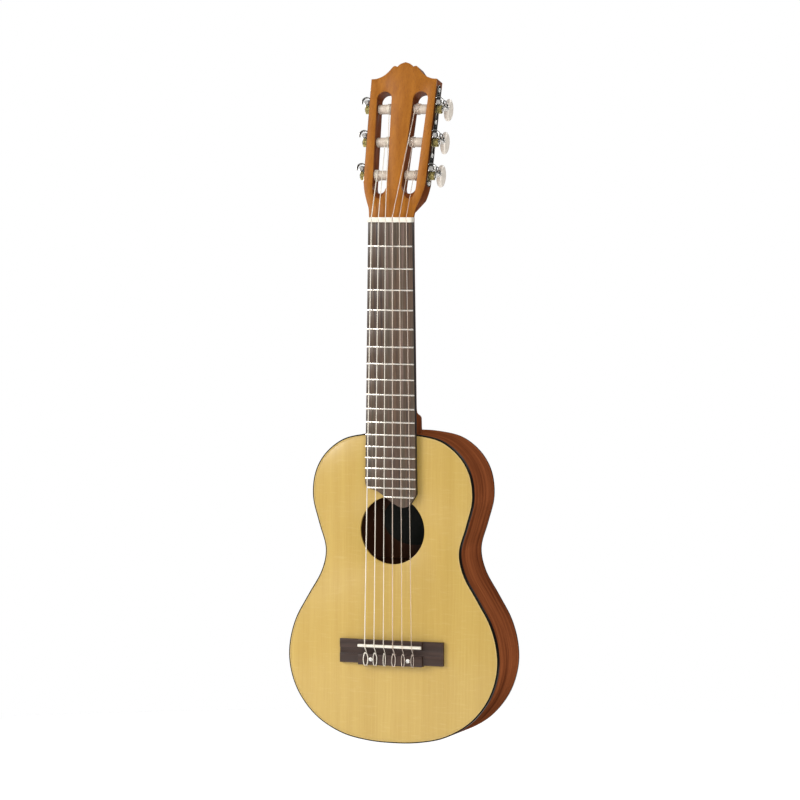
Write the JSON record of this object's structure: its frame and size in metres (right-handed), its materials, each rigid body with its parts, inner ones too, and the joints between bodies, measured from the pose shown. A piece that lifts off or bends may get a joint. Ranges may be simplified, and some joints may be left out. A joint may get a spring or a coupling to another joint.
{
  "type": "small classical guitar",
  "caption": "Small classical travel guitar with a hollow waisted body, slotted headstock, nylon strings and geared machine heads that turn string rollers.",
  "frame": {"origin": "on the centreline at the nut's fingerboard edge, in the soundboard's front plane, where a hanger's yoke holds the neck below the headstock", "axes": "+Z along the neck towards the headstock's tip, -Y out of the soundboard, +X towards the treble side"},
  "size_m": [0.2294, 0.0791, 0.6966],
  "materials": {
    "spruce": "satin lacquer",
    "purfling": "satin",
    "binding": "gloss",
    "dark_binding": "gloss",
    "side_wood": "satin lacquer",
    "lining_wood": "raw",
    "brace_wood": "raw",
    "label_paper": "matte paper",
    "neck_wood": "satin lacquer",
    "veneer": "satin lacquer",
    "fingerboard_wood": "oiled",
    "bridge_wood": "oiled",
    "fret_wire": "polished",
    "bone": "satin",
    "pearl": "gloss",
    "wound_string": "wound",
    "nylon": "clear",
    "nickel": "polished",
    "gear_brass": "satin",
    "roller_plastic": "satin",
    "button_plastic": "gloss"
  },
  "bodies": {
    "guitar": {"soundboard": "spruce", "top_purfling": "purfling", "top_binding": "binding", "side_bass": "side_wood", "side_treble": "side_wood", "back_plate": "side_wood", "back_binding": "dark_binding", "top_lining": "lining_wood", "back_lining": "lining_wood", "neck_block": "lining_wood", "tail_block": "lining_wood", "top_braces": "brace_wood", "back_braces": "brace_wood", "bridge_plate": "lining_wood", "label": "label_paper", "neck": "neck_wood", "heel_cap": "dark_binding", "headstock": "neck_wood", "head_veneer": "veneer", "fingerboard": "fingerboard_wood", "frets": "fret_wire", "nut": "bone", "bridge": "bridge_wood", "saddle": "bone", "bridge_dots": "pearl", "string_1": "wound_string", "string_2": "wound_string", "string_3": "wound_string", "string_4": "nylon", "string_5": "nylon", "string_6": "nylon", "tuner_plate_bass": "nickel", "tuner_plate_treble": "nickel", "plate_screws": "nickel"},
    "button_turn_1": {"worm_1": "nickel", "button_1": "button_plastic"},
    "roller_turn_1": {"roller_1": "roller_plastic", "gear_1": "gear_brass"},
    "button_turn_2": {"worm_2": "nickel", "button_2": "button_plastic"},
    "roller_turn_2": {"roller_2": "roller_plastic", "gear_2": "gear_brass"},
    "button_turn_3": {"worm_3": "nickel", "button_3": "button_plastic"},
    "roller_turn_3": {"roller_3": "roller_plastic", "gear_3": "gear_brass"},
    "button_turn_4": {"worm_4": "nickel", "button_4": "button_plastic"},
    "roller_turn_4": {"roller_4": "roller_plastic", "gear_4": "gear_brass"},
    "button_turn_5": {"worm_5": "nickel", "button_5": "button_plastic"},
    "roller_turn_5": {"roller_5": "roller_plastic", "gear_5": "gear_brass"},
    "button_turn_6": {"worm_6": "nickel", "button_6": "button_plastic"},
    "roller_turn_6": {"roller_6": "roller_plastic", "gear_6": "gear_brass"}
  },
  "joints": [
    {"name": "tune_1", "type": "hinge", "parent": "guitar", "child": "button_turn_1", "pos_m": [-0.03795, 0.0181, 0.05285], "axis": [0, 0.9659, -0.2588], "continuous": true},
    {"name": "wind_1", "type": "hinge", "parent": "guitar", "child": "roller_turn_1", "pos_m": [-0.03383, 0.01653, 0.04698], "axis": [-0.9998, -0.005, -0.0185], "continuous": true},
    {"name": "tune_2", "type": "hinge", "parent": "guitar", "child": "button_turn_2", "pos_m": [-0.03862, 0.02716, 0.08665], "axis": [0, 0.9659, -0.2588], "continuous": true},
    {"name": "wind_2", "type": "hinge", "parent": "guitar", "child": "roller_turn_2", "pos_m": [-0.0345, 0.02559, 0.08078], "axis": [-0.9998, -0.005, -0.0185], "continuous": true},
    {"name": "tune_3", "type": "hinge", "parent": "guitar", "child": "button_turn_3", "pos_m": [-0.03929, 0.03622, 0.12045], "axis": [0, 0.9659, -0.2588], "continuous": true},
    {"name": "wind_3", "type": "hinge", "parent": "guitar", "child": "roller_turn_3", "pos_m": [-0.03517, 0.03465, 0.11458], "axis": [-0.9998, -0.005, -0.0185], "continuous": true},
    {"name": "tune_4", "type": "hinge", "parent": "guitar", "child": "button_turn_4", "pos_m": [0.03929, 0.03622, 0.12045], "axis": [0, 0.9659, -0.2588], "continuous": true},
    {"name": "wind_4", "type": "hinge", "parent": "guitar", "child": "roller_turn_4", "pos_m": [0.03517, 0.03465, 0.11458], "axis": [0.9998, -0.005, -0.0185], "continuous": true},
    {"name": "tune_5", "type": "hinge", "parent": "guitar", "child": "button_turn_5", "pos_m": [0.03862, 0.02716, 0.08665], "axis": [0, 0.9659, -0.2588], "continuous": true},
    {"name": "wind_5", "type": "hinge", "parent": "guitar", "child": "roller_turn_5", "pos_m": [0.0345, 0.02559, 0.08078], "axis": [0.9998, -0.005, -0.0185], "continuous": true},
    {"name": "tune_6", "type": "hinge", "parent": "guitar", "child": "button_turn_6", "pos_m": [0.03795, 0.0181, 0.05285], "axis": [0, 0.9659, -0.2588], "continuous": true},
    {"name": "wind_6", "type": "hinge", "parent": "guitar", "child": "roller_turn_6", "pos_m": [0.03383, 0.01653, 0.04698], "axis": [0.9998, -0.005, -0.0185], "continuous": true}
  ],
  "couplings": [
    {"joint": "wind_1", "follows": "tune_1", "ratio": 0.071429},
    {"joint": "wind_2", "follows": "tune_2", "ratio": 0.071429},
    {"joint": "wind_3", "follows": "tune_3", "ratio": 0.071429},
    {"joint": "wind_4", "follows": "tune_4", "ratio": 0.071429},
    {"joint": "wind_5", "follows": "tune_5", "ratio": 0.071429},
    {"joint": "wind_6", "follows": "tune_6", "ratio": 0.071429}
  ]
}
